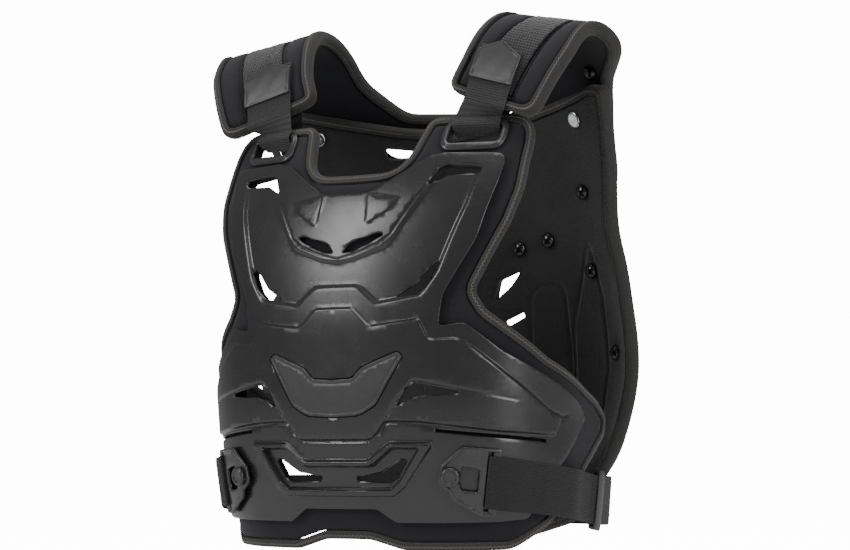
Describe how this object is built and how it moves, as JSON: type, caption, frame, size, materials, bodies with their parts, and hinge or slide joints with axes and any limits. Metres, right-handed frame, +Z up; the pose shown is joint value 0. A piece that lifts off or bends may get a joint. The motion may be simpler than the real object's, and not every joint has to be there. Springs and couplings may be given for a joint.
{
  "type": "roost deflector",
  "caption": "Black moulded chest and back protector on padded fabric backings, with a padded shoulder yoke, webbing shoulder straps and elastic side straps, held up as worn.",
  "frame": {"origin": "between the tops of the shoulders, where the wearer's shoulders carry the yoke, midway across the object", "axes": "+Z up, -Y towards the front of the chest, +X towards the wearer's left"},
  "size_m": [0.449, 0.2994, 0.514],
  "materials": {
    "moulded_shell": "satin moulded, fine grain",
    "black_rubber": "soft moulded, semi-matte",
    "navy_neoprene": "smooth knit over foam",
    "black_knit": "matte knit over foam",
    "edge_tape": "ribbed binding with a stitched line",
    "woven_webbing": "plain woven, matte",
    "ribbed_elastic": "ribbed along its length",
    "loop_strip": "fluffy loop pile",
    "bright_steel": "bright"
  },
  "bodies": {
    "root": {"front_pad": "navy_neoprene", "front_pad_binding": "edge_tape", "front_shell": "moulded_shell", "badge_plate": "black_rubber", "back_pad": "black_knit", "back_pad_binding": "edge_tape", "back_shell": "moulded_shell", "shoulder_yoke": "navy_neoprene", "shoulder_yoke_binding": "edge_tape", "slot_ring_left": "moulded_shell", "slot_ring_right": "moulded_shell", "loop_strip_left": "loop_strip", "loop_strip_right": "loop_strip", "webbing_left": "woven_webbing", "webbing_right": "woven_webbing", "webbing_tip_left": "black_rubber", "webbing_tip_right": "black_rubber", "strap_button_left": "moulded_shell", "strap_button_right": "moulded_shell", "strap_hook_left": "moulded_shell", "strap_hook_right": "moulded_shell", "elastic_strap_left": "ribbed_elastic", "elastic_strap_right": "ribbed_elastic", "strap_slider_left": "moulded_shell", "strap_slider_right": "moulded_shell", "silver_rivet_left": "bright_steel", "silver_rivet_right": "bright_steel", "yoke_rivet_left": "black_rubber", "yoke_rivet_right": "black_rubber", "dome_rivet_1_left": "black_rubber", "dome_rivet_1_right": "black_rubber", "dome_rivet_2_left": "black_rubber", "dome_rivet_2_right": "black_rubber", "dome_rivet_3_left": "black_rubber", "dome_rivet_3_right": "black_rubber", "dome_rivet_4_left": "black_rubber", "dome_rivet_4_right": "black_rubber", "dome_rivet_5_left": "black_rubber", "dome_rivet_5_right": "black_rubber"}
  },
  "joints": []
}
